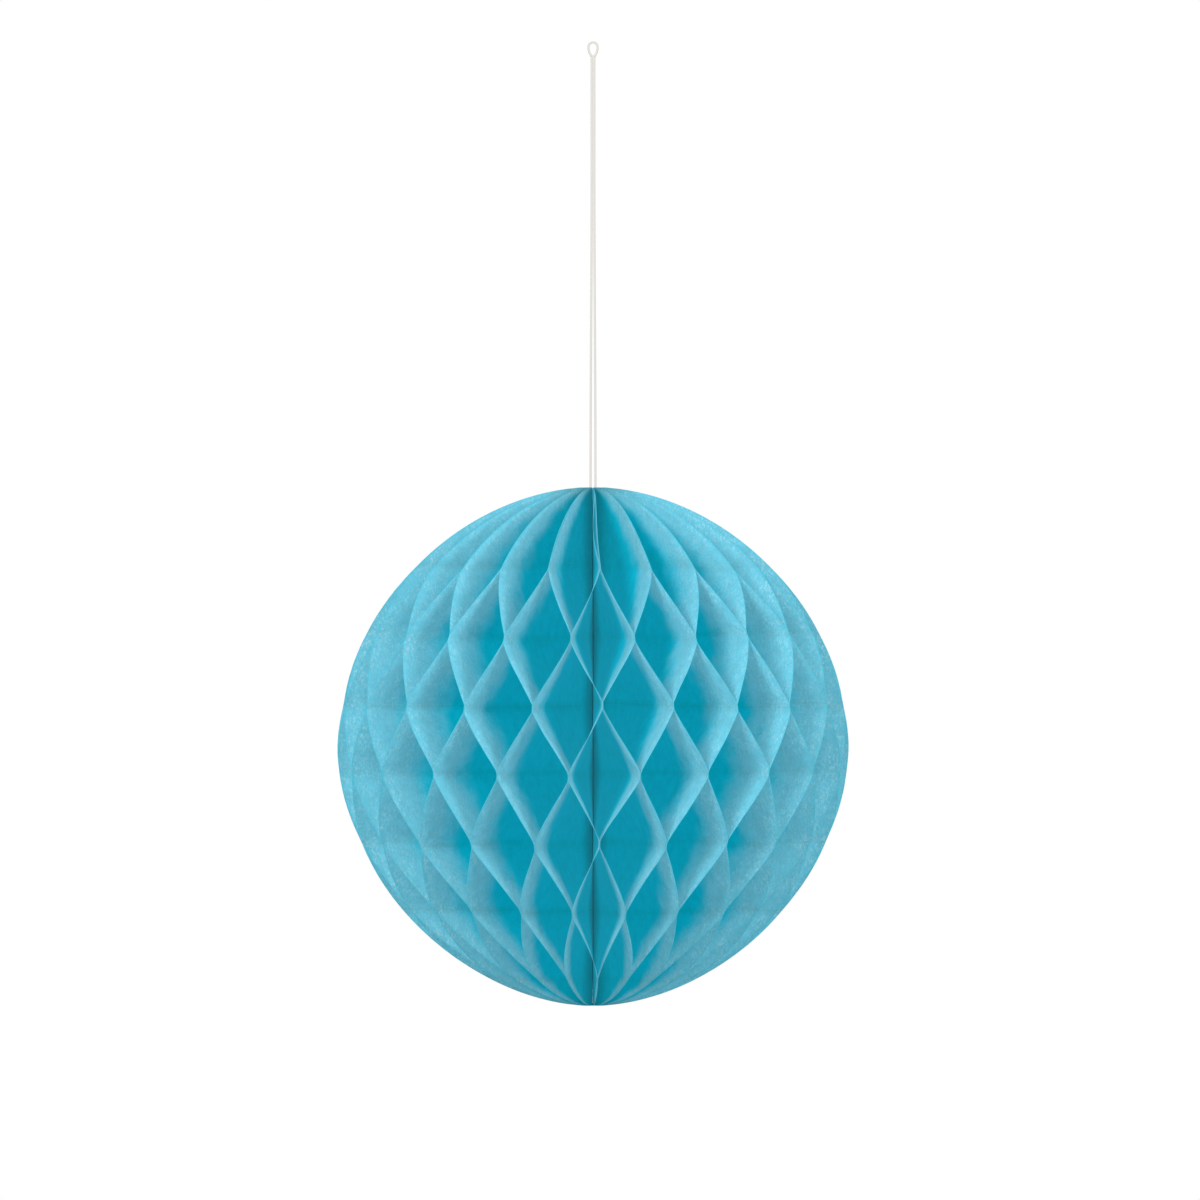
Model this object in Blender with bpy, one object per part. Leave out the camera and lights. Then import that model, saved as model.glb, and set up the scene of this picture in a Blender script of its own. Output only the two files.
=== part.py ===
"""Hanging tissue-paper honeycomb ball: zigzag leaves round a spine, two cover boards
taped back to back at the rear, and a string loop. Front is -Y and the hang point is z = 0."""

import math

import bmesh
import bpy
from mathutils import Matrix, Vector

# Overall sizes, in metres
HALF_HEIGHT = 0.1016  # centre of the ball to either pole
HALF_WIDTH = 0.1001  # spine to the widest point of a leaf
LOOP_DROP = 0.1736  # hang point to the top pole
POWER_TOP = 1.90  # fullness of the outline above the middle, 2 is an ellipse
POWER_BOTTOM = 1.86  # and below it

# Honeycomb
LEAVES_PER_SIDE = 22  # leaves on each side of the front-to-back plane
ROW_PITCH = 0.0269  # height between neighbouring glue rows
ROW_OFFSET = 0.0171  # height of the row nearest above the middle
GLUE_BAND = 0.0024  # height of a glue line
POLE_CLEAR = 0.007  # no glue row lies nearer a pole than this
TOP_SWING = 0.11  # how far the free top of a leaf opens, as a share of a cell
TISSUE = 0.00012  # leaf thickness as modelled
GAP = 0.00025  # clearance between faces that are glued or touch

# Seam
BOARD = 0.0004  # cover board thickness
BOARD_INSET = 0.0006  # board edge inside the leaf outline
TAPE = 0.0002  # double-sided tape thickness
TAB_WIDTH = 0.012
TAB_HEIGHT = 0.020
TAB_INSET = 0.006  # tab inside the board's edge
TAB_SPREAD = 0.056  # outer tabs above and below the middle

# String
STRING = 0.0009  # string diameter
EYE_RADIUS = 2.0 * STRING  # bend at the top of the loop
STRAND_GAP_LOW = 0.00192  # strand centres apart where they enter the ball
KNOT_RADIUS = 0.0019
KNOT_HEIGHT = 0.0028
POLE_HOLLOW = 0.0062  # spine ends this far below each pole

# Derived
STEP = math.pi / LEAVES_PER_SIDE
CENTRE_Z = -(LOOP_DROP + HALF_HEIGHT)
GLUE_OFFSET = (GAP + TISSUE) / 2
LEAF_INNER = 1.06 * (GAP + TISSUE) / STEP
BOARD_NEAR = TAPE / 2 + GAP
BOARD_FAR = BOARD_NEAR + BOARD
SEAM_OFFSET = BOARD_FAR + GAP + TISSUE / 2
SEAM_INNER = 1.06 * (GLUE_OFFSET + SEAM_OFFSET) / STEP
SPINE_RADIUS = LEAF_INNER - GAP

TISSUE_BLUE = (0.07, 0.45, 0.60, 1.0)
CARD_BLUE = (0.10, 0.42, 0.55, 1.0)
TAPE_CLEAR = (0.80, 0.80, 0.74, 1.0)
COTTON = (0.78, 0.77, 0.72, 1.0)
SPINE_BLUE = (0.03, 0.26, 0.36, 1.0)


def clear_scene():
    for obj in list(bpy.data.objects):
        bpy.data.objects.remove(obj, do_unlink=True)


def material(name, colour, roughness):
    mat = bpy.data.materials.new(name)
    mat.use_nodes = True
    shader = mat.node_tree.nodes["Principled BSDF"]
    shader.inputs["Base Color"].default_value = colour
    shader.inputs["Roughness"].default_value = roughness
    mat.diffuse_color = colour
    return mat


def add_mesh(name, points, faces, mat):
    mesh = bpy.data.meshes.new(name)
    mesh.from_pydata([tuple(p) for p in points], [], faces)
    shell = bmesh.new()
    shell.from_mesh(mesh)
    bmesh.ops.recalc_face_normals(shell, faces=shell.faces)
    shell.to_mesh(mesh)
    shell.free()
    mesh.materials.append(mat)
    obj = bpy.data.objects.new(name, mesh)
    bpy.context.scene.collection.objects.link(obj)
    return obj


def outline(height):
    """Leaf radius at a height from the middle of the ball."""
    power = POWER_TOP if height > 0 else POWER_BOTTOM
    share = min(abs(height) / HALF_HEIGHT, 1.0)
    return HALF_WIDTH * (1 - share**power) ** (1 / power)


def pole_end(radius, side):
    """Height at which the outline has shrunk to this radius, above (1) or below (-1)."""
    power = POWER_TOP if side > 0 else POWER_BOTTOM
    return side * HALF_HEIGHT * (1 - (radius / HALF_WIDTH) ** power) ** (1 / power)


def glue_rows():
    """(height, on_first_columns) from the top down, starting and ending on first columns."""
    reach = HALF_HEIGHT - POLE_CLEAR
    highest = math.floor((reach - ROW_OFFSET) / ROW_PITCH)
    lowest = math.ceil((-reach - ROW_OFFSET) / ROW_PITCH)
    highest -= highest % 2
    lowest += lowest % 2
    return [(ROW_OFFSET + m * ROW_PITCH, m % 2 == 0) for m in range(highest, lowest - 1, -1)]


def stations(inner):
    """(height, swing) down a leaf. Swing is 0 on its first column and 1 on the other."""
    rows = glue_rows()
    half = GLUE_BAND / 2
    top, bottom = pole_end(inner + 0.0022, 1), pole_end(inner + 0.0022, -1)
    found = []
    start = rows[0][0] + half
    for k in range(6, 0, -1):
        share = math.sin(k / 6 * math.pi / 2)
        swing = TOP_SWING * math.sin(math.pi * min(share, 0.97))
        found.append((start + (top - start) * share, swing))
    for k, (height, first) in enumerate(rows):
        here = 0.0 if first else 1.0
        found += [(height + half, here), (height - half, here)]
        if k + 1 < len(rows):
            length = height - rows[k + 1][0] - 2 * half
            for share in (0.25, 0.5, 0.75):
                found.append((height - half - length * share, abs(here - share)))
    start = rows[-1][0] - half
    for share in (0.4, 0.75, 1.0):
        found.append((start + (bottom - start) * share, 0.0))
    return found


def spot(radius, azimuth, offset, height):
    """A point by azimuth from the front towards +X, moved sideways by an offset."""
    s, c = math.sin(azimuth), math.cos(azimuth)
    return Vector((radius * s + offset * c, -radius * c + offset * s, CENTRE_Z + height))


def add_leaf(side, number, mat):
    """The leaf between columns number - 1 and number, side 1 for right and -1 for left."""
    at_seam = number == LEAVES_PER_SIDE
    inner = SEAM_INNER if at_seam else LEAF_INNER
    near_first = (number - 1) % 2 == 0
    far_offset = SEAM_OFFSET if at_seam else GLUE_OFFSET
    points = []
    for height, swing in stations(inner):
        share = swing if near_first else 1 - swing
        azimuth = (number - 1 + share) * STEP
        middle = GLUE_OFFSET * (1 - share) - far_offset * share
        outer = max(outline(height), inner + 0.0015)
        for radius in (inner, outer):
            for face in (-TISSUE / 2, TISSUE / 2):
                points.append(spot(radius, side * azimuth, side * (middle + face), height))
    faces = [(0, 1, 3), (0, 3, 2)]
    for k in range(0, len(points) - 4, 4):
        a, b = k, k + 4
        for p, q in ((0, 2), (1, 3), (0, 1), (2, 3)):
            faces += [(a + p, a + q, b + p), (a + q, b + q, b + p)]
    last = len(points) - 4
    faces += [(last, last + 3, last + 1), (last, last + 2, last + 3)]
    name = f"leaf_{'right' if side > 0 else 'left'}_{number:02d}"
    add_mesh(name, points, faces, mat)


def prism(name, corners, low, high, mat):
    """A flat piece in the rear plane from its (radius, height) corners, low to high in X."""
    count = len(corners)
    points = [(x, r, CENTRE_Z + h) for x in (low, high) for r, h in corners]
    faces = [tuple(range(count)), tuple(range(2 * count - 1, count - 1, -1))]
    for k in range(count):
        n = (k + 1) % count
        faces.append((k, n, count + n, count + k))
    return add_mesh(name, points, faces, mat)


def add_board(side, mat):
    top = pole_end(SEAM_INNER + 0.004, 1)
    bottom = pole_end(SEAM_INNER + 0.004, -1)
    edge = []
    for k in range(41):
        turn = k / 40 * math.pi
        height = (top + bottom) / 2 + (top - bottom) / 2 * math.cos(turn)
        edge.append((outline(height) - BOARD_INSET, height))
    corners = [(SEAM_INNER, bottom), (SEAM_INNER, top)] + edge
    low, high = sorted((side * BOARD_NEAR, side * BOARD_FAR))
    prism(f"cover_board_{'right' if side > 0 else 'left'}", corners, low, high, mat)


def add_tab(name, height, mat):
    widest = min(outline(height - TAB_HEIGHT / 2), outline(height + TAB_HEIGHT / 2))
    outer = widest - BOARD_INSET - TAB_INSET
    inner = outer - TAB_WIDTH
    low, high = height - TAB_HEIGHT / 2, height + TAB_HEIGHT / 2
    corners = [(inner, low), (inner, high), (outer, high), (outer, low)]
    prism(name, corners, -TAPE / 2, TAPE / 2, mat)


def add_turned(name, profile, height, mat, sides=20):
    """A solid of revolution about the spine from (radius, height) pairs, low to high."""
    points, faces = [], []
    for radius, z in profile:
        for k in range(sides):
            a = 2 * math.pi * k / sides
            points.append((radius * math.cos(a), radius * math.sin(a), CENTRE_Z + height + z))
    for ring in range(len(profile) - 1):
        for k in range(sides):
            n = (k + 1) % sides
            a, b = ring * sides, (ring + 1) * sides
            faces.append((a + k, a + n, b + n, b + k))
    faces.append(tuple(range(sides - 1, -1, -1)))
    faces.append(tuple((len(profile) - 1) * sides + k for k in range(sides)))
    obj = add_mesh(name, points, faces, mat)
    obj.data.shade_smooth()
    obj.data.set_sharp_from_angle(angle=math.radians(40))
    return obj


def add_knot(name, height, mat):
    """A drawn-up knot as a squat round bead."""
    profile = []
    for k in range(1, 8):
        a = math.pi * k / 8 - math.pi / 2
        profile.append((KNOT_RADIUS * math.cos(a), KNOT_HEIGHT / 2 * math.sin(a)))
    add_turned(name, profile, height, mat, 16)


def smooth_route(route, count):
    """Points read at even parameter steps from a Catmull-Rom curve through the route."""
    ends = [route[0] * 2 - route[1]] + route + [route[-1] * 2 - route[-2]]
    found = []
    for k in range(count):
        place = k / (count - 1) * (len(route) - 1)
        i = min(int(place), len(route) - 2)
        t = place - i
        p, q, r, s = ends[i : i + 4]
        found.append(
            0.5 * (2 * q + (r - p) * t + (2 * p - 5 * q + 4 * r - s) * t * t
                   + (3 * q - p - 3 * r + s) * t * t * t)
        )
    return found


def string_route():
    """The loop from the knot up the left strand, round the eye and down the right one."""
    touch = 0.58 * STRING
    low = STRAND_GAP_LOW / 2
    start = -(LOOP_DROP + POLE_HOLLOW - KNOT_HEIGHT - 2 * GAP)
    centre = STRING / 2 - EYE_RADIUS
    left = [(low, start), (low, -LOOP_DROP)]
    for share, mix in ((0.9, 0.94), (0.75, 0.75), (0.6, 0.4), (0.45, 0.1), (0.3, 0.0), (0.15, 0.0)):
        left.append((touch + (low - touch) * mix, -LOOP_DROP * share))
    for wide, drop in ((0.0, 5.4), (0.12, 4.3), (0.45, 3.1), (0.82, 2.0)):
        left.append((touch + (EYE_RADIUS - touch) * wide, centre - drop * STRING))
    for degrees in (0, 30, 60):
        a = math.radians(degrees)
        left.append((EYE_RADIUS * math.cos(a), centre + EYE_RADIUS * math.sin(a)))
    up = [Vector((-x, 0.0, z)) for x, z in left]
    down = [Vector((x, 0.0, z)) for x, z in reversed(left)]
    return up + [Vector((0.0, 0.0, STRING / 2))] + down


def add_string(mat):
    points = smooth_route(string_route(), 79)
    curve = bpy.data.curves.new("hang_string", "CURVE")
    curve.dimensions = "3D"
    curve.bevel_depth = STRING / 2
    curve.bevel_resolution = 2
    curve.use_fill_caps = True
    line = curve.splines.new("POLY")
    line.points.add(len(points) - 1)
    for point, place in zip(line.points, points):
        point.co = (*place, 1.0)
    curve.materials.append(mat)
    obj = bpy.data.objects.new("hang_string", curve)
    bpy.context.scene.collection.objects.link(obj)


def build():
    clear_scene()
    for side, word in ((1, "right"), (-1, "left")):
        for number in range(1, LEAVES_PER_SIDE + 1):
            mat = material(f"tissue_{word}_{number:02d}", TISSUE_BLUE, 0.9)
            add_leaf(side, number, mat)
        add_board(side, material(f"card_{word}", CARD_BLUE, 0.8))
    for name, share in (("tape_tab_top", 1), ("tape_tab_middle", 0), ("tape_tab_bottom", -1)):
        tape = material(name.replace("tab", "film"), TAPE_CLEAR, 0.4)
        add_tab(name, share * TAB_SPREAD, tape)
    end = HALF_HEIGHT - POLE_HOLLOW - GAP
    spine = [(SPINE_RADIUS, -end), (SPINE_RADIUS, 0.0), (SPINE_RADIUS, end)]
    add_turned("spine_core", spine, 0.0, material("stitched_paper", SPINE_BLUE, 0.9))
    knot_at = HALF_HEIGHT - POLE_HOLLOW + KNOT_HEIGHT / 2
    add_knot("top_knot", knot_at, material("knot_cotton", COTTON, 0.85))
    add_knot("bottom_knot", -knot_at, material("thread_cotton", COTTON, 0.85))
    add_string(material("string_cotton", COTTON, 0.85))


build()
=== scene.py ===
"""Looks of a hanging tissue-paper honeycomb ball: zigzag leaves, cover boards, tape, spine and string."""

import math

import bpy
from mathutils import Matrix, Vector
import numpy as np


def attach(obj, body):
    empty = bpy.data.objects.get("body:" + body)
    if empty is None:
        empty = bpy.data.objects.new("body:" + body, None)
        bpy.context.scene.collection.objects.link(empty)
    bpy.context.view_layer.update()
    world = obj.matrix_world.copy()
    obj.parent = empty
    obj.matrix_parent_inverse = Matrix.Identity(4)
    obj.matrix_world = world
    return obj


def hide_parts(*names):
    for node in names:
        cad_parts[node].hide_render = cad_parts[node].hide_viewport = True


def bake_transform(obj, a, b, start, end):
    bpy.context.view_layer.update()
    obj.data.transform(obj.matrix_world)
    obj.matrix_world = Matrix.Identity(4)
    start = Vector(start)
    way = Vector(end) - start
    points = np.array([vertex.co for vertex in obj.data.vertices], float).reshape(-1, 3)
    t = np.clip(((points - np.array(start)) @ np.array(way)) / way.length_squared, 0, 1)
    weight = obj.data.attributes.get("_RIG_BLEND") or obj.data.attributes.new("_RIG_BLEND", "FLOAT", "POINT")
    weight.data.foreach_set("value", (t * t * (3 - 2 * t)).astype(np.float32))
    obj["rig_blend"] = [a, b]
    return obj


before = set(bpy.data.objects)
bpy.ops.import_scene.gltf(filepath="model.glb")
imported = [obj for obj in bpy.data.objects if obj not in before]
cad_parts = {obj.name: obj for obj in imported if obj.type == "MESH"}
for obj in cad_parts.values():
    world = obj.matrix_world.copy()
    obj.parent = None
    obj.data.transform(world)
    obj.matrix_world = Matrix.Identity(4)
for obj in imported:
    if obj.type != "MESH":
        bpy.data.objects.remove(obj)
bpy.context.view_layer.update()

# The ball's sizes, in metres, as the CAD has them
HALF_HEIGHT = 0.1016
HALF_WIDTH = 0.1001
LOOP_DROP = 0.1736  # from the inside of the string's eye to the top of the ball
CENTRE_Z = -(LOOP_DROP + HALF_HEIGHT)
POWER_TOP = 1.90  # powers of the outline curve: 2 is an ellipse
POWER_BOTTOM = 1.86
LEAVES_PER_SIDE = 22
STEP = math.pi / LEAVES_PER_SIDE
ROW_PITCH = 0.0269  # between two rows of glue lines
ROW_OFFSET = 0.0171  # row 0 above the middle of the ball
ROW_HIGHEST, ROW_LOWEST = 2, -4

# Tissue leaves
SHEET = 0.00011  # thin enough to show as an edge only
GLUED = 0.00007  # middle of a leaf from the plane it is glued in
SEAM_OFFSET = 0.00082  # and from the rear plane, past the cover board
SPINE_EDGE = 0.0006  # inner edge of a leaf
POLE_EDGE = 0.0017  # inner edge beside the knots
SEAM_EDGE = 0.0089  # inner edge of the leaf on the cover board
BOARD_START = 0.0094  # just past the inner edge of the cover boards
BUNDLE = 0.0005  # half thickness of the folded leaves beside the spine
FOLD = math.radians(174)  # turn of each cover board from open to folded
RADIAL_POINTS, HEIGHT_POINTS = 13, 190
TOP_FREE, LOW_FREE = 1.14, 0.40  # leaf past the last rows, in rows
POLE_CLEAR = 0.0002  # leaf ends short of the pole
PLAY_FADE = 0.012  # unevenness fades this near to a pole
POLE_REACH, POLE_FULL = 0.010, 1.3  # the inner edge widens from 13 mm to 3 mm from a pole
KNOT_REACH = 0.0036  # and narrows again this near to the lower pole, past the knot
POLE_SHARE = 0.9985  # highest share of the half height that the outline is worked out for
LEAST_WIDTH = 0.0008
CUT_MIDDLE = 0.62  # noise level at which the cut rim lies on the outline
BAND_POWER = -0.65  # makes the painted lit rim band wider above the middle, where more light falls from above
ROW_KEY, SIDE_KEY, KEY_SPAN = 20.0, 40.0, 64.0  # make one whole number of a column and a row
LEAF_APART = 3.7  # distance between two leaves in the noise
RIPPLE_STRETCH = (5.0, 55.0, 1.7)
CUT_GRAIN = 420.0

# String and knots
STRING = 0.0009
EYE_RADIUS = 2.0 * STRING
STRAND_GAP_LOW = 0.00192  # between the two strands where they enter the ball
TOUCHING = 0.58 * STRING  # half the distance between strands that touch
KNOT_HEIGHT = 0.0028
KNOT_ACROSS, KNOT_TALL = 0.00125, 0.0007
STRAND_CLEAR = 0.0005  # between the strands' ends and the knot
POLE_HOLLOW = 0.0062  # from the pole to the end of the spine
# share of the drop, and how much of the low gap is left there
STRAND_SHARES = ((0.9, 0.94), (0.75, 0.75), (0.6, 0.4), (0.45, 0.1), (0.3, 0.0), (0.15, 0.0))
# share of the eye's half width, and string widths below its middle
EYE_NECK = ((0.0, 5.4), (0.12, 4.3), (0.45, 3.1), (0.82, 2.0))
EYE_DEGREES = (0, 30, 60)
PLY_LOBE = 0.12  # depth of the groove between plies, as a share of the radius
STRING_PLIES, STRING_LAY, KNOT_LAY = 3, 0.0032, 0.0030  # a lay is the length of one twist
STRING_SPACING, KNOT_SPACING = 0.00028, 0.00012
# where the string turns to its inside colour, from just above the top of the ball
INSIDE_COLOUR_STARTS, INSIDE_COLOUR_FULL = -LOOP_DROP + 0.0003, -LOOP_DROP - 0.0006

# Spine, and the tuft that goes on from it to the top pole
SPINE_RADIUS, TUFT_RADIUS = 0.00085, 0.00048
SPINE_PLIES, TUFT_PLIES = 11, 7
SPINE_AROUND, TUFT_AROUND = 44, 28
SPINE_LAY, TUFT_LAY = 0.012, 0.006
TUFT_TOP = 0.0004  # end of the tuft below the pole


def linear(hex_colour):
    """sRGB hex to linear RGBA."""
    found = []
    for k in (0, 2, 4):
        c = int(hex_colour[k : k + 2], 16) / 255
        found.append(c / 12.92 if c <= 0.04045 else ((c + 0.055) / 1.055) ** 2.4)
    return (*found, 1.0)


def add(tree, kind, values=None, **settings):
    """Adds a node with its settings, values and links, and gives its outputs."""
    made = tree.nodes.new(kind)
    for key, value in settings.items():
        setattr(made, key, value)
    for key, value in (values or {}).items():
        if isinstance(value, bpy.types.NodeSocket):
            tree.links.new(value, made.inputs[key])
        else:
            made.inputs[key].default_value = value
    return made.outputs


def work_out(tree, known, lines):
    """Adds a row of maths nodes. Each line is a name, an operation and its values or names."""
    for name, operation, *values in lines:
        given = {k: known[v] if isinstance(v, str) else v for k, v in enumerate(values)}
        known[name] = add(tree, "ShaderNodeMath", given, operation=operation)[0]


# ---------------------------------------------------------------- camera

VIEW_WIDTH = 0.4698  # metres across the view at the ball
AIM_ASIDE, AIM_BELOW = 0.0027405, 0.0442395  # right of the string, and below the top of the ball
AIM = Vector((AIM_ASIDE, 0.0, -LOOP_DROP - AIM_BELOW))
DISTANCE = 8.0
AZIMUTH, ELEVATION = math.radians(-2.1), math.radians(0.6)
SENSOR = 36.0


def make_camera():
    """A long lens from a little to the left of the front, just above the middle."""
    data = bpy.data.cameras.new("camera")
    camera = bpy.data.objects.new("camera", data)
    bpy.context.scene.collection.objects.link(camera)
    back = Vector((
        math.sin(AZIMUTH) * math.cos(ELEVATION),
        -math.cos(AZIMUTH) * math.cos(ELEVATION),
        math.sin(ELEVATION),
    ))
    data.sensor_width = SENSOR
    data.lens = SENSOR * DISTANCE / VIEW_WIDTH
    data.clip_start, data.clip_end = 0.05, 50.0
    camera.location = AIM + back * DISTANCE
    camera.rotation_mode = "QUATERNION"
    camera.rotation_quaternion = (-back).to_track_quat("-Z", "Y")
    bpy.context.scene.camera = camera


make_camera()


# ---------------------------------------------------------------- string


def smooth_route(route, count):
    """A smooth line through the points of a route."""
    ends = [route[0] * 2 - route[1]] + route + [route[-1] * 2 - route[-2]]
    found = []
    for k in range(count):
        place = k / (count - 1) * (len(route) - 1)
        i = min(int(place), len(route) - 2)
        t = place - i
        p, q, r, s = ends[i : i + 4]
        found.append(
            0.5 * (2 * q + (r - p) * t + (2 * p - 5 * q + 4 * r - s) * t * t
                   + (3 * q - p - 3 * r + s) * t * t * t)
        )
    return found


def string_route():
    """The loop from the knot up the left strand, round the eye and down the right one."""
    low = STRAND_GAP_LOW / 2
    start = -(LOOP_DROP + POLE_HOLLOW - KNOT_HEIGHT - STRAND_CLEAR)
    centre = STRING / 2 - EYE_RADIUS
    left = [(low, start), (low, -LOOP_DROP)]
    for share, mix in STRAND_SHARES:
        left.append((TOUCHING + (low - TOUCHING) * mix, -LOOP_DROP * share))
    for wide, drop in EYE_NECK:
        left.append((TOUCHING + (EYE_RADIUS - TOUCHING) * wide, centre - drop * STRING))
    for degrees in EYE_DEGREES:
        a = math.radians(degrees)
        left.append((EYE_RADIUS * math.cos(a), centre + EYE_RADIUS * math.sin(a)))
    up = [Vector((-x, 0.0, z)) for x, z in left]
    down = [Vector((x, 0.0, z)) for x, z in reversed(left)]
    return up + [Vector((0.0, 0.0, STRING / 2))] + down


def even_points(points, spacing):
    """The same line with its points a set distance apart."""
    found, left_over = [points[0]], spacing
    for a, b in zip(points, points[1:]):
        gap = (b - a).length
        at = left_over
        while at <= gap:
            found.append(a.lerp(b, at / gap))
            at += spacing
        left_over = at - gap
    return found


def twisted_tube(name, path, radius, plies, pitch, finish, around=12):
    """A plied cord along a path: its section has a lobe for each ply, which turns along it."""
    points, faces = [], []
    side = Vector((0, 1, 0))
    run = 0.0
    for k, p in enumerate(path):
        ahead = path[min(k + 1, len(path) - 1)] - path[max(k - 1, 0)]
        ahead.normalize()
        run += (p - path[k - 1]).length if k else 0.0
        side = (side - ahead * side.dot(ahead)).normalized()
        other = ahead.cross(side)
        for j in range(around):
            a = 2 * math.pi * j / around
            lobe = abs(math.cos(plies / 2 * (a - 2 * math.pi * run / pitch)))
            r = radius * (1.0 - PLY_LOBE + PLY_LOBE * lobe)
            points.append(p + side * (r * math.cos(a)) + other * (r * math.sin(a)))
        if k:
            b = (k - 1) * around
            for j in range(around):
                n = (j + 1) % around
                faces.append((b + j, b + n, b + around + n, b + around + j))
    faces.append(tuple(range(around - 1, -1, -1)))
    last = len(points) - around
    faces.append(tuple(range(last, len(points))))
    mesh = bpy.data.meshes.new(name)
    mesh.from_pydata([tuple(p) for p in points], [], faces)
    mesh.materials.append(finish)
    mesh.shade_smooth()
    obj = bpy.data.objects.new(name, mesh)
    bpy.context.scene.collection.objects.link(obj)
    return obj


def trefoil(centre, across, tall, count=121):
    """A closed overhand turn for a knot."""
    found = []
    for k in range(count):
        t = 2 * math.pi * k / count
        found.append(
            centre + Vector((
                across * (math.sin(t) + 2 * math.sin(2 * t)) / 3,
                across * (math.cos(t) - 2 * math.cos(2 * t)) / 3,
                -tall * math.sin(3 * t),
            ))
        )
    return found


def new_material(name):
    """An empty material."""
    made = bpy.data.materials.new(name)
    made.use_nodes = True
    made.node_tree.nodes.clear()
    return made


def plain_finish(name, pale, dark, scale, roughness, depth, inside_colour=None):
    """A fibrous matte finish in two tones, with its scale in grains to a metre.

    An inside colour, if given, is what the finish turns to from just above the top of the ball downwards.
    """
    made = new_material(name)
    tree = made.node_tree
    place = add(tree, "ShaderNodeTexCoord")["Object"]
    grain = add(tree, "ShaderNodeTexNoise", {"Vector": place, "Scale": scale, "Detail": 4.0})[0]
    tones = {0: grain, 6: linear(dark), 7: linear(pale)}
    tone = add(tree, "ShaderNodeMix", tones, data_type="RGBA")[2]
    if inside_colour:
        height = add(tree, "ShaderNodeSeparateXYZ", {0: place})["Z"]
        inside = add(
            tree, "ShaderNodeMapRange",
            {"Value": height, "From Min": INSIDE_COLOUR_STARTS, "From Max": INSIDE_COLOUR_FULL},
        )[0]
        tones = {0: inside, 6: tone, 7: linear(inside_colour)}
        tone = add(tree, "ShaderNodeMix", tones, data_type="RGBA")[2]
    bump = add(tree, "ShaderNodeBump", {"Strength": 0.3, "Distance": depth, "Height": grain})[0]
    face = add(
        tree, "ShaderNodeBsdfPrincipled", {"Base Color": tone, "Roughness": roughness, "Normal": bump}
    )[0]
    add(tree, "ShaderNodeOutputMaterial", {0: face})
    return made


# undyed twisted cotton: matte and off-white, with fibres 0.3 mm long that break up the light
# it turns cyan from where it runs into the ball
cotton = plain_finish("twisted_cotton", "c4c2bc", "aaa8a2", 3200.0, 0.9, 0.0001, "2aa6c0")

route = even_points(smooth_route(string_route(), 400), STRING_SPACING)
string = twisted_tube("cotton_string", route, STRING / 2, STRING_PLIES, STRING_LAY, cotton)
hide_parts("hang_string")
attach(string, "spine")


# ---------------------------------------------------------------- honeycomb leaf

LEAF_SIZES = (
    ("Leaf Number", 1.0), ("Side", 1.0), ("Cell Step", STEP), ("Row Pitch", ROW_PITCH),
    ("Row Offset", ROW_OFFSET), ("Half Height", HALF_HEIGHT), ("Half Width", HALF_WIDTH),
    ("Sheet", SHEET), ("Near Offset", GLUED), ("Far Offset", GLUED), ("Inner", SPINE_EDGE),
    ("Pole Inner", POLE_EDGE),
    # unevenness: of the glue points in radians and metres, of the walls and of the cut rim in metres
    ("Azimuth Play", 0.0095), ("Height Play", 0.0010), ("Crumple", 0.00055), ("Edge Play", 0.00022),
    # half a glue line in rows, and how far the wall curls beside it
    ("Glue Half", 0.052), ("Curl", 0.12),
    # free top ends: sideways bend in radians, and how far the two front leaves part and bend
    ("Top Bend", 0.010), ("Front Opening", 0.09), ("Front Bend", -0.030),
)

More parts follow.
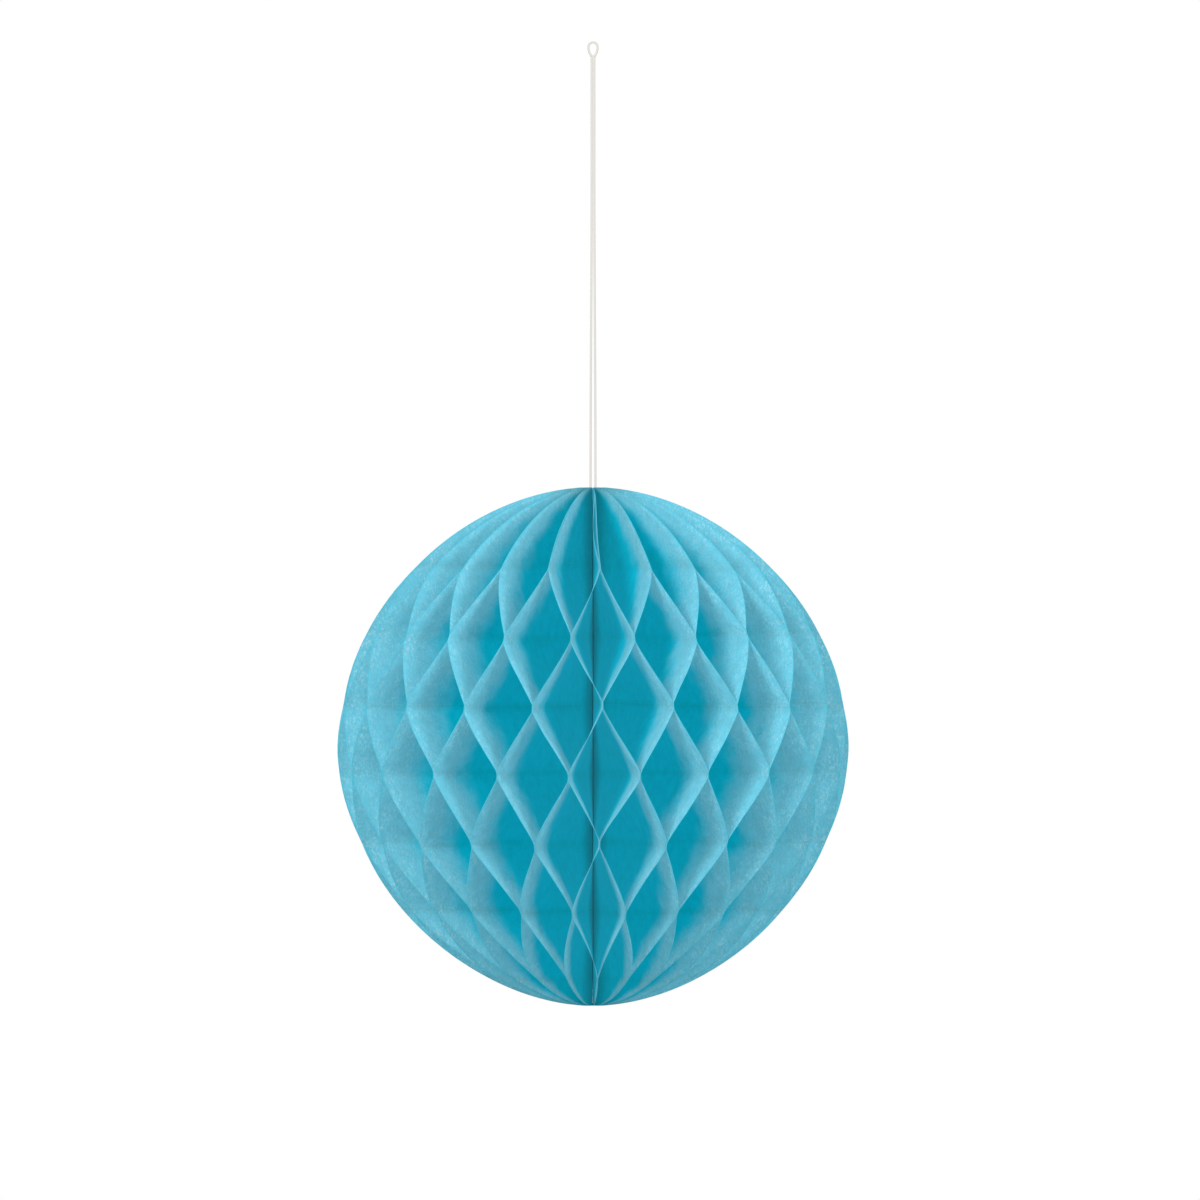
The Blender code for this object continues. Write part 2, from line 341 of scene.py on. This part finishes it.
LEAF_MATHS = (
    # place on the sheet: across 0 at the spine to 1 at the rim, height from the middle
    ("across", "ADD", "py", 0.5),
    ("wave", "MULTIPLY", "pz", math.pi),
    ("wave_sine", "SINE", "wave"),
    ("wave_half", "MULTIPLY_ADD", "wave_sine", 0.5, "pz"),
    ("reach", "SUBTRACT", "Half Height", POLE_CLEAR),
    ("level", "MULTIPLY", "wave_half", "reach"),
    # row count, and the swing from the first column at 0 to the other at 1
    ("above", "SUBTRACT", "level", "Row Offset"),
    ("row", "DIVIDE", "above", "Row Pitch"),
    ("row_low", "MAXIMUM", "row", float(ROW_LOWEST)),
    ("row_held", "MINIMUM", "row_low", float(ROW_HIGHEST)),
    ("zigzag", "PINGPONG", "row_held", 1.0),
    ("unglued", "MULTIPLY_ADD", "Glue Half", -2.0, 1.0),
    ("zig_from", "SUBTRACT", "zigzag", "Glue Half"),
    ("zig_wide", "DIVIDE", "zig_from", "unglued"),
    ("zig_up", "MAXIMUM", "zig_wide", 0.0),
    ("zig", "MINIMUM", "zig_up", 1.0),
    ("zig_sq", "MULTIPLY", "zig", "zig"),
    ("zig_rest", "MULTIPLY_ADD", "zig", -2.0, 3.0),
    ("zig_smooth", "MULTIPLY", "zig_sq", "zig_rest"),
    ("zig_more", "SUBTRACT", "zig_smooth", "zig"),
    ("swing_rows", "MULTIPLY_ADD", "zig_more", "Curl", "zig"),
    # free ends of the leaf past the last rows
    ("top_rows", "SUBTRACT", "row", float(ROW_HIGHEST)),
    ("top_span", "DIVIDE", "top_rows", TOP_FREE),
    ("top_up", "MAXIMUM", "top_span", 0.0),
    ("top_share", "MINIMUM", "top_up", 1.0),
    ("top_turn", "MULTIPLY", "top_share", math.pi),
    ("top_sine", "SINE", "top_turn"),
    ("low_rows", "SUBTRACT", float(ROW_LOWEST), "row"),
    ("low_span", "DIVIDE", "low_rows", LOW_FREE),
    ("low_up", "MAXIMUM", "low_span", 0.0),
    ("low_share", "MINIMUM", "low_up", 1.0),
    ("low_turn", "MULTIPLY", "low_share", math.pi),
    ("low_sine", "SINE", "low_turn"),
    # first (even) and second (odd) column of this leaf, and the nearest row on each
    ("half_number", "DIVIDE", "Leaf Number", 2.0),
    ("half_floor", "FLOOR", "half_number"),
    ("first", "MULTIPLY", "half_floor", 2.0),
    ("number_less", "SUBTRACT", "Leaf Number", 1.0),
    ("half_less", "DIVIDE", "number_less", 2.0),
    ("half_less_floor", "FLOOR", "half_less"),
    ("second", "MULTIPLY_ADD", "half_less_floor", 2.0, 1.0),
    ("row_half", "DIVIDE", "row_held", 2.0),
    ("row_round", "ROUND", "row_half"),
    ("first_row", "MULTIPLY", "row_round", 2.0),
    ("row_floor", "FLOOR", "row_half"),
    ("second_row", "MULTIPLY_ADD", "row_floor", 2.0, 1.0),
    ("first_side", "MULTIPLY_ADD", "first", "Side", SIDE_KEY),
    ("second_side", "MULTIPLY_ADD", "second", "Side", SIDE_KEY),
    ("first_row_up", "ADD", "first_row", ROW_KEY),
    ("second_row_up", "ADD", "second_row", ROW_KEY),
    ("first_knot", "MULTIPLY_ADD", "first_side", KEY_SPAN, "first_row_up"),
    ("second_knot", "MULTIPLY_ADD", "second_side", KEY_SPAN, "second_row_up"),
)

# the part of the rule that comes after the random draws and the noise
LEAF_MATHS_MORE = (
    ("at_front", "LESS_THAN", "first", 0.5),
    ("top_open", "MULTIPLY_ADD", "at_front", "Front Opening", "top_play"),
    ("top_swing", "MULTIPLY", "top_sine", "top_open"),
    ("low_swing", "MULTIPLY", "low_sine", "low_play"),
    ("swing_top", "ADD", "swing_rows", "top_swing"),
    ("swing", "ADD", "swing_top", "low_swing"),
    ("columns", "SUBTRACT", "second", "first"),
    ("place", "MULTIPLY_ADD", "swing", "columns", "first"),
    ("share", "SUBTRACT", "place", "number_less"),
    ("straight", "MULTIPLY", "place", "Cell Step"),
    # irregular glue points, shared by the two leaves that meet there, but none on the cover boards
    ("not_board", "LESS_THAN", "first", LEAVES_PER_SIDE - 0.5),
    ("first_play", "MULTIPLY", "turn_first", "not_board"),
    ("side_play", "SUBTRACT", "turn_second", "first_play"),
    ("turn_play", "MULTIPLY_ADD", "side_play", "swing_rows", "first_play"),
    ("lift_more", "SUBTRACT", "lift_second", "lift_first"),
    ("lift_play", "MULTIPLY_ADD", "lift_more", "swing_rows", "lift_first"),
    ("level_size", "ABSOLUTE", "level"),
    ("to_pole", "SUBTRACT", "Half Height", "level_size"),
    ("fade_raw", "DIVIDE", "to_pole", PLAY_FADE),
    ("fade", "MINIMUM", "fade_raw", 1.0),
    ("side_turn", "MULTIPLY", "turn_play", "Side"),
    ("azimuth_rows", "MULTIPLY_ADD", "side_turn", "Azimuth Play", "straight"),
    ("bend_any", "MULTIPLY", "top_bend", "Top Bend"),
    ("bend_both", "MULTIPLY_ADD", "at_front", "Front Bend", "bend_any"),
    ("bend_free", "MULTIPLY", "bend_both", "not_board"),
    ("bend_side", "MULTIPLY", "bend_free", "Side"),
    ("azimuth", "MULTIPLY_ADD", "bend_side", "top_sine", "azimuth_rows"),
    ("lift_faded", "MULTIPLY", "lift_play", "fade"),
    ("height", "MULTIPLY_ADD", "lift_faded", "Height Play", "level"),
    # outline of the leaf
    ("is_top", "GREATER_THAN", "height", 0.0),
    ("power", "MULTIPLY_ADD", "is_top", POWER_TOP - POWER_BOTTOM, POWER_BOTTOM),
    ("height_size", "ABSOLUTE", "height"),
    ("height_share", "DIVIDE", "height_size", "Half Height"),
    ("height_held", "MINIMUM", "height_share", POLE_SHARE),
    ("height_power", "POWER", "height_held", "power"),
    ("left_over", "SUBTRACT", 1.0, "height_power"),
    ("root_power", "DIVIDE", 1.0, "power"),
    ("outline_share", "POWER", "left_over", "root_power"),
    ("outline_true", "MULTIPLY", "outline_share", "Half Width"),
    ("cut_mid", "SUBTRACT", "cut_edge", CUT_MIDDLE),
    ("outline", "MULTIPLY_ADD", "cut_mid", "Edge Play", "outline_true"),
    ("pole_raw", "DIVIDE", "to_pole", POLE_REACH),
    ("pole_near", "SUBTRACT", POLE_FULL, "pole_raw"),
    ("pole_up", "MAXIMUM", "pole_near", 0.0),
    ("pole_held", "MINIMUM", "pole_up", 1.0),
    ("knot_raw", "DIVIDE", "to_pole", KNOT_REACH),
    ("knot_top", "MAXIMUM", "knot_raw", "is_top"),
    ("knot_share", "MINIMUM", "knot_top", 1.0),
    ("pole_share", "MULTIPLY", "pole_held", "knot_share"),
    ("inner_more", "SUBTRACT", "Pole Inner", "Inner"),
    ("inner_wide", "MAXIMUM", "inner_more", 0.0),
    ("inner", "MULTIPLY_ADD", "inner_wide", "pole_share", "Inner"),
    ("least", "ADD", "inner", LEAST_WIDTH),
    ("outer", "MAXIMUM", "outline", "least"),
    ("wide", "SUBTRACT", "outer", "inner"),
    ("radius", "MULTIPLY_ADD", "wide", "across", "inner"),
    # distance from the rim, and the same stretched where the leaf is narrow
    ("rim", "SUBTRACT", "outer", "radius"),
    ("narrowing", "DIVIDE", "Half Width", "outer"),
    ("narrow_power", "MULTIPLY_ADD", "is_top", BAND_POWER, 1.0),
    ("narrow_band", "POWER", "narrowing", "narrow_power"),
    ("band", "MULTIPLY", "rim", "narrow_band"),
    # sideways: clear of the glue plane, half a sheet either way, and crumpled between rows
    ("near_share", "SUBTRACT", 1.0, "share"),
    ("near_part", "MULTIPLY", "near_share", "Near Offset"),
    ("far_part", "MULTIPLY", "share", "Far Offset"),
    ("middle", "SUBTRACT", "near_part", "far_part"),
    ("faced", "MULTIPLY_ADD", "px", "Sheet", "middle"),
    ("free", "MULTIPLY", "share", "near_share"),
    ("free_up", "MAXIMUM", "free", 0.0),
    ("free_four", "MULTIPLY", "free_up", 4.0),
    ("out_share", "DIVIDE", "radius", "Half Width"),
    ("free_out", "MULTIPLY", "free_four", "out_share"),
    ("ripple_mid", "SUBTRACT", "ripple", 0.5),
    ("ripple_size", "MULTIPLY", "ripple_mid", 2.0),
    ("ripple_free", "MULTIPLY", "ripple_size", "free_out"),
    ("offset", "MULTIPLY_ADD", "ripple_free", "Crumple", "faced"),
    # to the ball's frame
    ("sine", "SINE", "azimuth"),
    ("cosine", "COSINE", "azimuth"),
    ("x_far", "MULTIPLY", "radius", "sine"),
    ("x_plain", "MULTIPLY_ADD", "offset", "cosine", "x_far"),
    ("x", "MULTIPLY", "x_plain", "Side"),
    ("y_far", "MULTIPLY", "radius", "cosine"),
    ("y_near", "MULTIPLY", "offset", "sine"),
    ("y", "SUBTRACT", "y_near", "y_far"),
    ("z", "ADD", "height", CENTRE_Z),
    # where the middle of the sheet lies round the spine, and how near this point is to a glue line
    ("middle_turn", "DIVIDE", "middle", "radius"),
    ("bearing", "ADD", "azimuth", "middle_turn"),
    ("row_whole", "ROUND", "row_held"),
    ("row_off", "SUBTRACT", "row", "row_whole"),
    ("row_away", "ABSOLUTE", "row_off"),
    ("glue_line", "MULTIPLY", "row_away", "Row Pitch"),
)


def leaf_tree(tissue):
    """The rule of one leaf: a thin closed sheet laid zigzag between two glue columns."""
    tree = bpy.data.node_groups.new("honeycomb_leaf", "GeometryNodeTree")
    tree.is_modifier = True
    for name, value in LEAF_SIZES:
        socket = tree.interface.new_socket(name, in_out="INPUT", socket_type="NodeSocketFloat")
        socket.default_value = value
    tree.interface.new_socket("Geometry", in_out="OUTPUT", socket_type="NodeSocketGeometry")
    given = add(tree, "NodeGroupInput")
    known = {name: given[name] for name, _ in LEAF_SIZES}
    slab = add(
        tree, "GeometryNodeMeshCube",
        {"Size": (1, 1, 1), "Vertices X": 2, "Vertices Y": RADIAL_POINTS, "Vertices Z": HEIGHT_POINTS},
    )["Mesh"]
    spot = add(tree, "GeometryNodeInputPosition")[0]
    known["px"], known["py"], known["pz"] = add(tree, "ShaderNodeSeparateXYZ", {0: spot})[:3]
    work_out(tree, known, LEAF_MATHS)
    draws = (
        ("turn_first", "first_knot", -1.0, 1.0, 11), ("turn_second", "second_knot", -1.0, 1.0, 11),
        ("lift_first", "first_knot", -1.0, 1.0, 12), ("lift_second", "second_knot", -1.0, 1.0, 12),
        ("top_play", "first_side", 0.0, 0.05, 13), ("low_play", "first_side", 0.0, 0.03, 14),
        ("top_bend", "first_side", -1.0, 1.0, 15),
    )
    for name, knot, low, high, seed in draws:
        whole = add(tree, "FunctionNodeFloatToInt", {0: known[knot]}, rounding_mode="ROUND")[0]
        known[name] = add(
            tree, "FunctionNodeRandomValue", {2: low, 3: high, "ID": whole, "Seed": seed},
            data_type="FLOAT",
        )[1]
    leaf_place = add(
        tree, "ShaderNodeMath", {0: known["Leaf Number"], 1: known["Side"], 2: LEAF_APART},
        operation="MULTIPLY_ADD",
    )[0]
    flat = add(tree, "ShaderNodeCombineXYZ", {0: known["across"], 1: known["level"], 2: leaf_place})[0]
    stretched = add(
        tree, "ShaderNodeVectorMath", {0: flat, 1: RIPPLE_STRETCH}, operation="MULTIPLY"
    )[0]
    known["ripple"] = add(
        tree, "ShaderNodeTexNoise",
        {"Vector": stretched, "Scale": 1.0, "Detail": 1.5, "Roughness": 0.5},
    )[0]
    along_cut = add(tree, "ShaderNodeCombineXYZ", {1: known["level"], 2: leaf_place})[0]
    known["cut_edge"] = add(
        tree, "ShaderNodeTexNoise", {"Vector": along_cut, "Scale": CUT_GRAIN, "Detail": 2.0}
    )[0]
    work_out(tree, known, LEAF_MATHS_MORE)
    there = add(tree, "ShaderNodeCombineXYZ", {0: known["x"], 1: known["y"], 2: known["z"]})[0]
    paper = add(tree, "ShaderNodeCombineXYZ", {0: known["radius"], 1: known["height"], 2: leaf_place})[0]
    mesh = slab
    # the fold reads the bearing, and the paper's finish reads the others
    for name, kind, value in (
        ("bearing", "FLOAT", known["bearing"]), ("rim", "FLOAT", known["rim"]),
        ("band", "FLOAT", known["band"]), ("glue_line", "FLOAT", known["glue_line"]),
        ("paper", "FLOAT_VECTOR", paper),
    ):
        mesh = add(
            tree, "GeometryNodeStoreNamedAttribute", {"Geometry": mesh, "Name": name, "Value": value},
            data_type=kind, domain="POINT",
        )[0]
    mesh = add(tree, "GeometryNodeSetPosition", {"Geometry": mesh, "Position": there})[0]
    left = add(tree, "ShaderNodeMath", {0: known["Side"], 1: 0.0}, operation="LESS_THAN")[0]
    mesh = add(tree, "GeometryNodeFlipFaces", {0: mesh, 1: left})[0]
    mesh = add(tree, "GeometryNodeRealizeInstances", {0: mesh})[0]
    mesh = add(tree, "GeometryNodeSetMaterial", {"Geometry": mesh, "Material": tissue})[0]
    tree.links.new(mesh, tree.nodes.new("NodeGroupOutput").inputs[0])
    return tree


def finished(name, tree, sizes):
    """Runs a tree with these sizes and keeps the result as a plain mesh object."""
    holder = bpy.data.objects.new("holder", bpy.data.meshes.new("holder"))
    bpy.context.scene.collection.objects.link(holder)
    modifier = holder.modifiers.new("shape", "NODES")
    modifier.node_group = tree
    for item in tree.interface.items_tree:
        if item.in_out == "INPUT" and item.name in sizes:
            modifier[item.identifier] = float(sizes[item.name])
    graph = bpy.context.evaluated_depsgraph_get()
    mesh = bpy.data.meshes.new_from_object(holder.evaluated_get(graph))
    mesh.name = name
    bpy.data.objects.remove(holder, do_unlink=True)
    obj = bpy.data.objects.new(name, mesh)
    bpy.context.scene.collection.objects.link(obj)
    return obj


def fold_evenly(mesh):
    """Shares the cover's turn out over a leaf, so that folded leaves fill the room between the boards."""
    bearings = [0.0] * len(mesh.vertices)
    mesh.attributes["bearing"].data.foreach_get("value", bearings)
    shares = []
    for vertex, bearing in zip(mesh.vertices, bearings):
        radius = math.hypot(vertex.co.x, vertex.co.y)
        if radius < BOARD_START:
            room = math.asin(min(BUNDLE / radius, 1.0)) / math.pi
        else:
            board = SEAM_OFFSET / radius
            room = (math.pi - FOLD - board) / (math.pi - board)
        shares.append(min(max(bearing * (1.0 - room) / FOLD, 0.0), 1.0))
    mesh.attributes["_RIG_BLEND"].data.foreach_set("value", shares)


def hang_leaf(side, word, number, tree):
    """One leaf in the place of its CAD node, turning from the spine to its cover board."""
    at_seam = number == LEAVES_PER_SIDE
    leaf = finished(
        f"tissue_{word}_{number:02d}", tree,
        {
            "Leaf Number": number, "Side": side,
            "Far Offset": SEAM_OFFSET if at_seam else GLUED,
            "Inner": SEAM_EDGE if at_seam else SPINE_EDGE,
        },
    )
    leaf.data.shade_smooth()
    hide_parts(f"leaf_{word}_{number:02d}")
    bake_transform(leaf, "spine", f"cover_{word}", (0, -0.1, CENTRE_Z), (0, 0.1, CENTRE_Z))
    fold_evenly(leaf.data)


# ---------------------------------------------------------------- finishes


# Noise scales are grains to a metre: clouds 4 mm across, specks 1 mm, fibres 0.8 mm, patches 11 mm
CLOUDS, SPECKS, FIBRES, PATCHES = 230.0, 1100.0, 1250.0, 90.0
FIBRE_STRETCH = (1.0, 0.55, 1.0)
PATCHY = 0.018  # how far the patches push the edge of the painted lit rim band
LIT_THROUGH = 0.42
# painted light: a painted shade tone deep in the cells, a painted lit tone in the outer band, pale fibres
# with painted sheen and a painted highlight on the cut edge
DEEP_SHADE_TONE, RIM_LIT_TONE, FIBRE_SHEEN_TONE, CUT_HIGHLIGHT_TONE = "00bfdb", "6ecbe1", "cdedf5", "5ed2e8"

# name, what it reads, the range of that, what its two ends become, and how it runs between them
PAPER_RANGES = (
    ("near_rim", "band", 0.017, 0.034, 1.0, 0.0, "SMOOTHSTEP"),  # painted light: paler outer part, where light reaches into the cells
    ("handled", "band", 0.012, 0.031, 0.62, 0.0, "LINEAR"),  # painted sheen: the pale fibres show only in the lit outer band
    ("cut", "rim", 0.0001, 0.0005, 0.85, 0.0, "LINEAR"),  # painted highlight along the cut edge
    ("glued", "glue_line", 0.0001, 0.0005, 0.94, 1.0, "LINEAR"),  # darker along the glue
    ("wedge", "radius", 0.0, 0.024, 0.58, 1.0, "SMOOTHSTEP"),  # painted shade: darker towards the spine, where the leaves close up
    ("mottle", "clouds", 0.3, 0.7, 0.94, 1.05, "LINEAR"),  # uneven dye
    ("speckle", "specks", 0.3, 0.7, 0.96, 1.04, "LINEAR"),
    ("strand", "fibres", 0.47, 0.66, 0.0, 0.85, "LINEAR"),  # pale fibres, more of them in patches; their paleness is partly painted sheen
    ("patch", "patches", 0.38, 0.62, 0.25, 1.0, "LINEAR"),
)

PAPER_MATHS = (
    ("strand_patch", "MULTIPLY", "strand", "patch"),
    ("fibre", "MULTIPLY", "strand_patch", "handled"),
    ("grain", "MULTIPLY", "mottle", "speckle"),
    ("grain_wedge", "MULTIPLY", "grain", "wedge"),
    ("shade", "MULTIPLY", "grain_wedge", "glued"),
    ("height", "MULTIPLY_ADD", "clouds", 0.6, "specks"),
)


def tissue_paper():
    """Dyed tissue, 17 g/m2: matte, fibrous and lit through from behind, with painted light: a painted lit
    band towards its cut rim, painted shade deeper in and towards the spine, painted sheen on its fibres and
    a painted highlight on its cut edge.
    """
    made = new_material("dyed_tissue_paper")
    tree = made.node_tree
    paper = add(tree, "ShaderNodeAttribute", attribute_name="paper")["Vector"]
    known = {"radius": add(tree, "ShaderNodeSeparateXYZ", {0: paper})[0]}
    for name in ("rim", "band", "glue_line"):
        known[name] = add(tree, "ShaderNodeAttribute", attribute_name=name)["Fac"]
    for name, scale, detail in (
        ("clouds", CLOUDS, 3.0), ("specks", SPECKS, 2.0), ("patches", PATCHES, 2.0),
    ):
        known[name] = add(
            tree, "ShaderNodeTexNoise", {"Vector": paper, "Scale": scale, "Detail": detail}
        )[0]
    drawn = add(tree, "ShaderNodeVectorMath", {0: paper, 1: FIBRE_STRETCH}, operation="MULTIPLY")[0]
    known["fibres"] = add(
        tree, "ShaderNodeTexNoise",
        {"Vector": drawn, "Scale": FIBRES, "Detail": 5.0, "Roughness": 0.62, "Distortion": 0.9},
    )[0]
    work_out(tree, known, [("band", "MULTIPLY_ADD", "patches", PATCHY, "band")])
    for name, read, low, high, at_low, at_high, run in PAPER_RANGES:
        known[name] = add(
            tree, "ShaderNodeMapRange",
            {"Value": known[read], "From Min": low, "From Max": high, "To Min": at_low, "To Max": at_high},
            interpolation_type=run,
        )[0]
    work_out(tree, known, PAPER_MATHS)
    # the paper's tone, with painted shade, painted light, painted sheen and a painted highlight mixed in
    tone_and_painted_light = linear(DEEP_SHADE_TONE)
    for share, colour in (("near_rim", RIM_LIT_TONE), ("fibre", FIBRE_SHEEN_TONE), ("cut", CUT_HIGHLIGHT_TONE)):
        mixed = {0: known[share], 6: tone_and_painted_light, 7: linear(colour)}
        tone_and_painted_light = add(tree, "ShaderNodeMix", mixed, data_type="RGBA")[2]
    colour = add(
        tree, "ShaderNodeVectorMath", {0: tone_and_painted_light, "Scale": known["shade"]}, operation="SCALE"
    )[0]
    bump = add(
        tree, "ShaderNodeBump", {"Strength": 0.25, "Distance": 0.0004, "Height": known["height"]}
    )[0]
    face = add(
        tree, "ShaderNodeBsdfPrincipled",
        {"Base Color": colour, "Roughness": 0.82, "Specular IOR Level": 0.03, "Normal": bump},
    )[0]
    through = add(tree, "ShaderNodeBsdfTranslucent", {"Color": colour, "Normal": bump})[0]
    both = add(tree, "ShaderNodeMixShader", {0: LIT_THROUGH, 1: face, 2: through})[0]
    add(tree, "ShaderNodeOutputMaterial", {0: both})
    return made


def dress(node, finish):
    """Gives a CAD node that stays its finish."""
    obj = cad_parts[node]
    obj.data.materials.clear()
    obj.data.materials.append(finish)


# ---------------------------------------------------------------- the ball

tissue = tissue_paper()
# card with tissue glued on: flat, matte and pale teal, with a fibre grain 1.1 mm across
card = plain_finish("tissue_faced_card", "66b7cc", "4aa2ba", 900.0, 0.85, 0.0001)
# tape with a tissue carrier: off-white and a little smoother than paper, with a grain of 0.7 mm
tape = plain_finish("double_sided_tissue_tape", "efeee6", "dcdacf", 1500.0, 0.6, 0.00005)
# dyed cotton thread: matte teal, with fibres 0.3 mm long
sewing = plain_finish("dyed_sewing_cotton", "2fb2ca", "1793ae", 3200.0, 0.85, 0.0001)
# many cut tissue edges together: deep teal and matte, with creases 0.7 mm apart
gather = plain_finish("gathered_tissue_edges", "00a0c0", "0084a2", 1400.0, 0.9, 0.0002)

tree = leaf_tree(tissue)
for side, word in ((1, "right"), (-1, "left")):
    for number in range(1, LEAVES_PER_SIDE + 1):
        hang_leaf(side, word, number, tree)
    dress(f"cover_board_{word}", card)
for node in ("tape_tab_top", "tape_tab_middle", "tape_tab_bottom"):
    dress(node, tape)

# the gathered inner edges with the sewing thread round them
spine_top = Vector((0, 0, CENTRE_Z + HALF_HEIGHT - POLE_HOLLOW))
spine_low = Vector((0, 0, CENTRE_Z - HALF_HEIGHT + POLE_HOLLOW))
line = [spine_low.lerp(spine_top, k / 380) for k in range(381)]
spine = twisted_tube("gathered_spine", line, SPINE_RADIUS, SPINE_PLIES, SPINE_LAY, gather, SPINE_AROUND)
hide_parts("spine_core")
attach(spine, "spine")

# a twist of the same edges fills the hollow between the two strands
tuft_top = Vector((0, 0, CENTRE_Z + HALF_HEIGHT - TUFT_TOP))
line = [spine_top.lerp(tuft_top, k / 20) for k in range(21)]
tuft = twisted_tube("pole_tuft", line, TUFT_RADIUS, TUFT_PLIES, TUFT_LAY, gather, TUFT_AROUND)
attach(tuft, "spine")

knot_rise = HALF_HEIGHT - POLE_HOLLOW + KNOT_HEIGHT / 2
for name, node, rise, yarn in (
    ("loop_knot", "top_knot", knot_rise, cotton),
    ("thread_knot", "bottom_knot", -knot_rise, sewing),
):
    turn = trefoil(Vector((0, 0, CENTRE_Z + rise)), KNOT_ACROSS, KNOT_TALL)
    knot = twisted_tube(
        name, even_points(turn, KNOT_SPACING), STRING / 2, STRING_PLIES, KNOT_LAY, yarn
    )
    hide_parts(node)
    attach(knot, "spine")


# ---------------------------------------------------------------- studio

FLOOR_HALF, FLOOR_Z = 1.2, -1.9
TENT_STRENGTH = 0.84
BOUNCE_REACH = 0.0002


def area_light(name, place, size, watts, aim):
    """A round soft light turned to the aim."""
    data = bpy.data.lights.new(name, "AREA")
    data.shape, data.size, data.energy = "DISK", size, watts
    light = bpy.data.objects.new(name, data)
    bpy.context.scene.collection.objects.link(light)
    light.location = place
    light.rotation_mode = "QUATERNION"
    light.rotation_quaternion = (aim - Vector(place)).to_track_quat("-Z", "Y")


def make_floor():
    """A plain pale floor far below the hanging ball."""
    mesh = bpy.data.meshes.new("studio_floor")
    half, z = FLOOR_HALF, FLOOR_Z
    corners = [(-half, -half, z), (half, -half, z), (half, half, z), (-half, half, z)]
    mesh.from_pydata(corners, [], [(0, 1, 2, 3)])
    # matt white emulsion: plain, with no gloss
    paint = new_material("studio_white")
    coat = {"Base Color": linear("f2f2f0"), "Roughness": 0.9}
    shader = add(paint.node_tree, "ShaderNodeBsdfPrincipled", coat)[0]
    add(paint.node_tree, "ShaderNodeOutputMaterial", {0: shader})
    mesh.materials.append(paint)
    floor = bpy.data.objects.new("studio_floor", mesh)
    bpy.context.scene.collection.objects.link(floor)


def light_tent(strength):
    """Even white light from all round. Seen directly, the tent is plain white."""
    world = bpy.data.worlds.new("light_tent")
    world.use_nodes = True
    world.node_tree.nodes.clear()
    seen = add(world.node_tree, "ShaderNodeLightPath")["Is Camera Ray"]
    level = add(world.node_tree, "ShaderNodeMix", {0: seen, 2: strength, 3: 1.0})[0]
    white = {"Color": (1, 1, 1, 1), "Strength": level}
    tent = add(world.node_tree, "ShaderNodeBackground", white)[0]
    add(world.node_tree, "ShaderNodeOutputWorld", {0: tent})
    bpy.context.scene.world = world


light_tent(TENT_STRENGTH)
scene = bpy.context.scene
scene.view_settings.view_transform = "Standard"
# light goes a long way through thin sheets: past the first bounce it is taken as even
scene.cycles.use_fast_gi = True
scene.cycles.fast_gi_method = "REPLACE"
scene.cycles.ao_bounces_render = 1
scene.world.light_settings.distance = BOUNCE_REACH
# two soft round lights, the stronger one from the left and above
middle = Vector((0, 0, CENTRE_Z))
area_light("key", (-1.5, -2.3, 1.1), 1.2, 62.0, middle)
area_light("fill", (1.7, -2.0, 0.5), 1.4, 32.0, middle)
make_floor()
